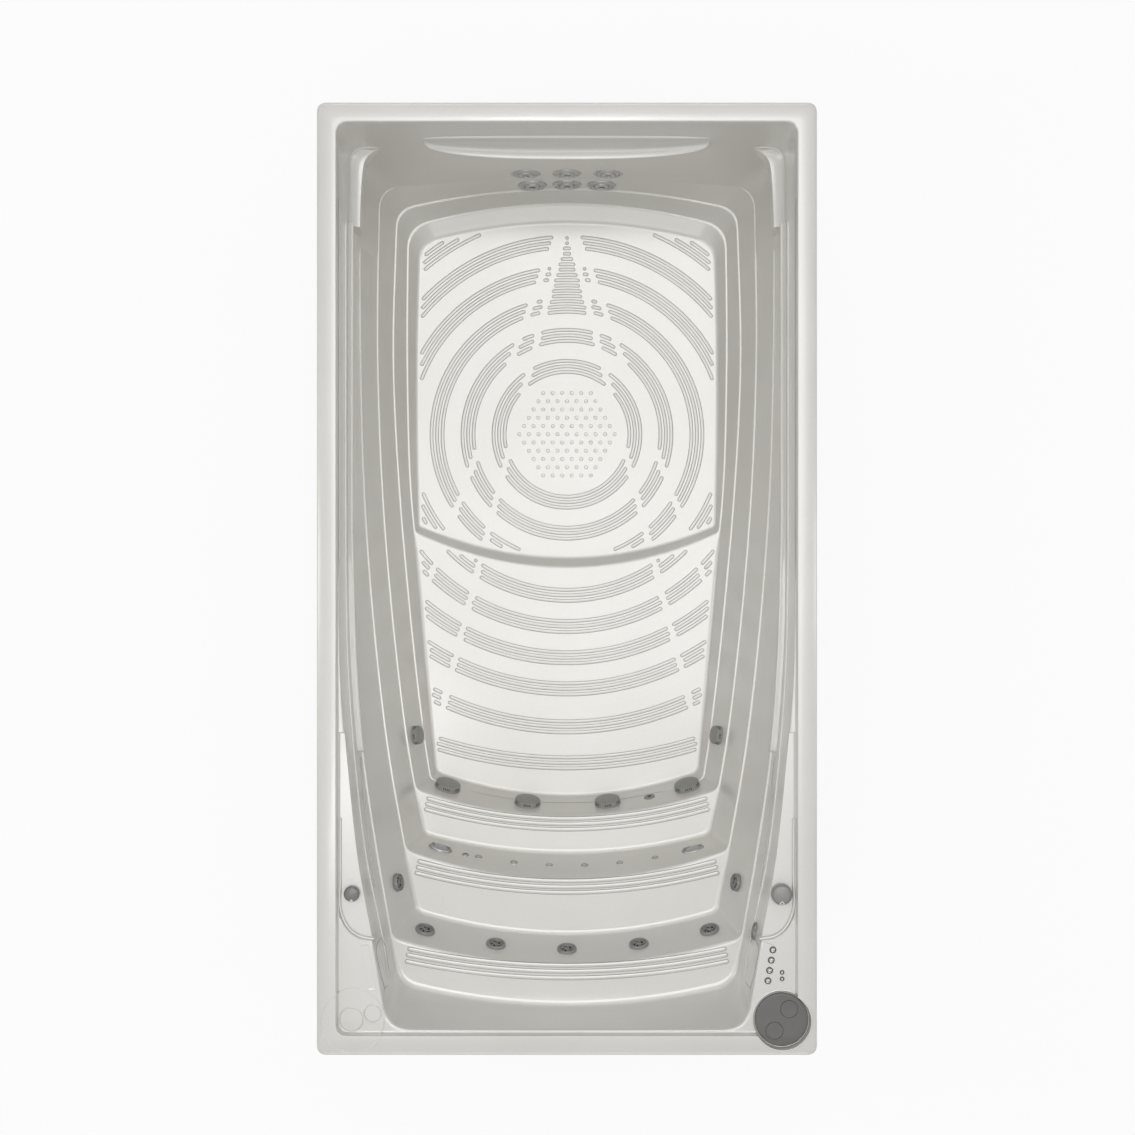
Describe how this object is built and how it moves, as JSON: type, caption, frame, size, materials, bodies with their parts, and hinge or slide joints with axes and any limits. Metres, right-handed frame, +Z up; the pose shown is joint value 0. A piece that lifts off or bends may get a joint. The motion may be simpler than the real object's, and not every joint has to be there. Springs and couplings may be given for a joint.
{
  "type": "swim spa",
  "caption": "Rectangular swim spa: moulded pool with steps, seat, swim jets and therapy jets, on a framed cabinet with its pumps.",
  "frame": {"origin": "middle of the underside of the base pan, on the floor", "axes": "+Z up, +Y towards the end with the swim jets, +X towards the side with the filter"},
  "size_m": [2.39, 4.55, 1.3],
  "materials": {
    "pearl_acrylic": "glossy pearl acrylic",
    "base_plastic": "moulded black plastic",
    "timber": "sawn softwood",
    "cabinet_board": "dark grey composite board",
    "silver_plastic": "silver grey",
    "grey_plastic": "grey",
    "pipe_plastic": "white pipe",
    "knob_plastic": "mid grey",
    "lens": "clear lens over white",
    "chrome": "polished",
    "lid_plastic": "fine grained dark grey",
    "filter_fleece": "pleated fleece",
    "brass": "cast",
    "motor_paint": "satin black",
    "dark_plastic": "dark grey"
  },
  "bodies": {
    "spa": {"access_panel": "cabinet_board", "air_injectors": "grey_plastic", "air_valve_body": "dark_plastic", "back_jet_bodies": "grey_plastic", "base_pan": "base_plastic", "button_block": "grey_plastic", "control_box": "dark_plastic", "diverter_valve_body": "dark_plastic", "end_panel_north": "cabinet_board", "end_panel_south": "cabinet_board", "filter_canister": "dark_plastic", "filter_cartridge": "filter_fleece", "left_jet_body": "grey_plastic", "left_pump_casing": "motor_paint", "light_lens_left": "lens", "light_lens_right": "lens", "right_jet_body": "grey_plastic", "right_pump_casing": "motor_paint", "shell": "pearl_acrylic", "side_panel_left": "cabinet_board", "side_panel_right": "cabinet_board", "side_suction_left": "dark_plastic", "side_suction_right": "dark_plastic", "step_frame": "timber", "step_light_left": "chrome", "step_light_right": "chrome", "suction_cover_1": "dark_plastic", "suction_cover_2": "dark_plastic", "suction_cover_3": "dark_plastic", "suction_cover_4": "dark_plastic", "suction_plumbing": "pipe_plastic", "swim_jet_plumbing": "pipe_plastic", "temperature_sensor": "dark_plastic", "timber_frame": "timber", "wall_jet_body": "grey_plastic"},
    "air_knob": {"air_knob": "knob_plastic"},
    "control_button_1": {"control_button_1": "chrome"},
    "control_button_2": {"control_button_2": "chrome"},
    "control_button_3": {"control_button_3": "chrome"},
    "control_button_4": {"control_button_4": "chrome"},
    "diverter_knob": {"diverter_knob": "knob_plastic"},
    "filter_lid": {"filter_lid": "lid_plastic"},
    "left_pump_impeller": {"left_pump_impeller": "brass"},
    "light_button_1": {"light_button_1": "chrome"},
    "light_button_2": {"light_button_2": "chrome"},
    "right_pump_impeller": {"right_pump_impeller": "brass"},
    "swim_jet_nozzle_1": {"swim_jet_nozzle_1": "silver_plastic"},
    "swim_jet_nozzle_2": {"swim_jet_nozzle_2": "silver_plastic"},
    "swim_jet_nozzle_3": {"swim_jet_nozzle_3": "silver_plastic"},
    "swim_jet_nozzle_4": {"swim_jet_nozzle_4": "silver_plastic"},
    "swim_jet_nozzle_5": {"swim_jet_nozzle_5": "silver_plastic"},
    "swim_jet_nozzle_6": {"swim_jet_nozzle_6": "silver_plastic"},
    "therapy_jet_face_1": {"therapy_jet_face_1": "silver_plastic"},
    "therapy_jet_face_2": {"therapy_jet_face_2": "silver_plastic"},
    "therapy_jet_face_3": {"therapy_jet_face_3": "silver_plastic"},
    "therapy_jet_face_4": {"therapy_jet_face_4": "silver_plastic"},
    "therapy_jet_face_5": {"therapy_jet_face_5": "silver_plastic"},
    "therapy_jet_face_6": {"therapy_jet_face_6": "silver_plastic"},
    "therapy_jet_face_7": {"therapy_jet_face_7": "silver_plastic"},
    "therapy_jet_face_8": {"therapy_jet_face_8": "silver_plastic"}
  },
  "joints": [
    {"name": "air_turn", "type": "hinge", "parent": "spa", "child": "air_knob", "pos_m": [-1.031, -1.51001, 1.25], "axis": [0, 0, 1], "range_deg": [0, 150]},
    {"name": "control_button_1_press", "type": "slide", "parent": "spa", "child": "control_button_1", "axis": [0, 0, -1], "range_m": [0, 0.003], "stiffness_N_per_m": 600, "springref_m": -0.002},
    {"name": "control_button_2_press", "type": "slide", "parent": "spa", "child": "control_button_2", "axis": [0, 0, -1], "range_m": [0, 0.003], "stiffness_N_per_m": 600, "springref_m": -0.002},
    {"name": "control_button_3_press", "type": "slide", "parent": "spa", "child": "control_button_3", "axis": [0, 0, -1], "range_m": [0, 0.003], "stiffness_N_per_m": 600, "springref_m": -0.002},
    {"name": "control_button_4_press", "type": "slide", "parent": "spa", "child": "control_button_4", "axis": [0, 0, -1], "range_m": [0, 0.003], "stiffness_N_per_m": 600, "springref_m": -0.002},
    {"name": "diverter_turn", "type": "hinge", "parent": "spa", "child": "diverter_knob", "pos_m": [1.029, -1.51201, 1.25], "axis": [0, 0, 1], "range_deg": [-90, 90]},
    {"name": "filter_lid_lift", "type": "slide", "parent": "spa", "child": "filter_lid", "axis": [0, 0, 1], "range_m": [0, 0.12]},
    {"name": "left_pump_spin", "type": "hinge", "parent": "spa", "child": "left_pump_impeller", "pos_m": [-0.12, -1.89999, 0.165], "axis": [1, 0, 0], "continuous": true},
    {"name": "light_button_1_press", "type": "slide", "parent": "spa", "child": "light_button_1", "axis": [0, 0, -1], "range_m": [0, 0.003], "stiffness_N_per_m": 600, "springref_m": -0.002},
    {"name": "light_button_2_press", "type": "slide", "parent": "spa", "child": "light_button_2", "axis": [0, 0, -1], "range_m": [0, 0.003], "stiffness_N_per_m": 600, "springref_m": -0.002},
    {"name": "right_pump_spin", "type": "hinge", "parent": "spa", "child": "right_pump_impeller", "pos_m": [0.12, -1.89999, 0.165], "axis": [-1, 0, 0], "continuous": true},
    {"name": "swim_jet_turn_1", "type": "hinge", "parent": "spa", "child": "swim_jet_nozzle_1", "pos_m": [-0.21505, 2.11734, 0.47982], "axis": [0.0157, -0.9986, 0.0504], "range_deg": [0, 90]},
    {"name": "swim_jet_turn_2", "type": "hinge", "parent": "spa", "child": "swim_jet_nozzle_2", "pos_m": [-0.00001, 2.11923, 0.47984], "axis": [0.003, -0.999, 0.0453], "range_deg": [0, 90]},
    {"name": "swim_jet_turn_3", "type": "hinge", "parent": "spa", "child": "swim_jet_nozzle_3", "pos_m": [0.21504, 2.1174, 0.47982], "axis": [-0.0126, -0.9986, 0.0508], "range_deg": [0, 90]},
    {"name": "swim_jet_turn_4", "type": "hinge", "parent": "spa", "child": "swim_jet_nozzle_4", "pos_m": [-0.18509, 2.09833, 0.2796], "axis": [0.0264, -0.9933, 0.1121], "range_deg": [0, 90]},
    {"name": "swim_jet_turn_5", "type": "hinge", "parent": "spa", "child": "swim_jet_nozzle_5", "pos_m": [-0.00003, 2.10247, 0.27967], "axis": [0.0083, -0.9958, 0.0917], "range_deg": [0, 90]},
    {"name": "swim_jet_turn_6", "type": "hinge", "parent": "spa", "child": "swim_jet_nozzle_6", "pos_m": [0.1851, 2.09875, 0.2796], "axis": [-0.0288, -0.9932, 0.1132], "range_deg": [0, 90]},
    {"name": "therapy_jet_turn_1", "type": "hinge", "parent": "spa", "child": "therapy_jet_face_1", "pos_m": [-0.71879, -1.78586, 0.77386], "axis": [0.2383, 0.9159, 0.3231], "range_deg": [0, 90]},
    {"name": "therapy_jet_turn_2", "type": "hinge", "parent": "spa", "child": "therapy_jet_face_2", "pos_m": [-0.3603, -1.85824, 0.77393], "axis": [0.1057, 0.9464, 0.3052], "range_deg": [0, 90]},
    {"name": "therapy_jet_turn_3", "type": "hinge", "parent": "spa", "child": "therapy_jet_face_3", "pos_m": [0, -1.8835, 0.77394], "axis": [-0.0001, 0.9535, 0.3013], "range_deg": [0, 90]},
    {"name": "therapy_jet_turn_4", "type": "hinge", "parent": "spa", "child": "therapy_jet_face_4", "pos_m": [0.36436, -1.85776, 0.77393], "axis": [-0.1051, 0.9465, 0.3051], "range_deg": [0, 90]},
    {"name": "therapy_jet_turn_5", "type": "hinge", "parent": "spa", "child": "therapy_jet_face_5", "pos_m": [0.72285, -1.78468, 0.77386], "axis": [-0.2373, 0.9161, 0.3232], "range_deg": [0, 90]},
    {"name": "therapy_jet_turn_6", "type": "hinge", "parent": "spa", "child": "therapy_jet_face_6", "pos_m": [-0.85757, -1.54054, 0.77384], "axis": [0.9311, 0.157, 0.3293], "range_deg": [0, 90]},
    {"name": "therapy_jet_turn_7", "type": "hinge", "parent": "spa", "child": "therapy_jet_face_7", "pos_m": [0.85908, -1.54057, 0.77385], "axis": [-0.9303, 0.164, 0.3281], "range_deg": [0, 90]},
    {"name": "therapy_jet_turn_8", "type": "hinge", "parent": "spa", "child": "therapy_jet_face_8", "pos_m": [0.92848, -1.72665, 1.07967], "axis": [-0.9778, 0.1871, 0.0942], "range_deg": [0, 90]}
  ]
}
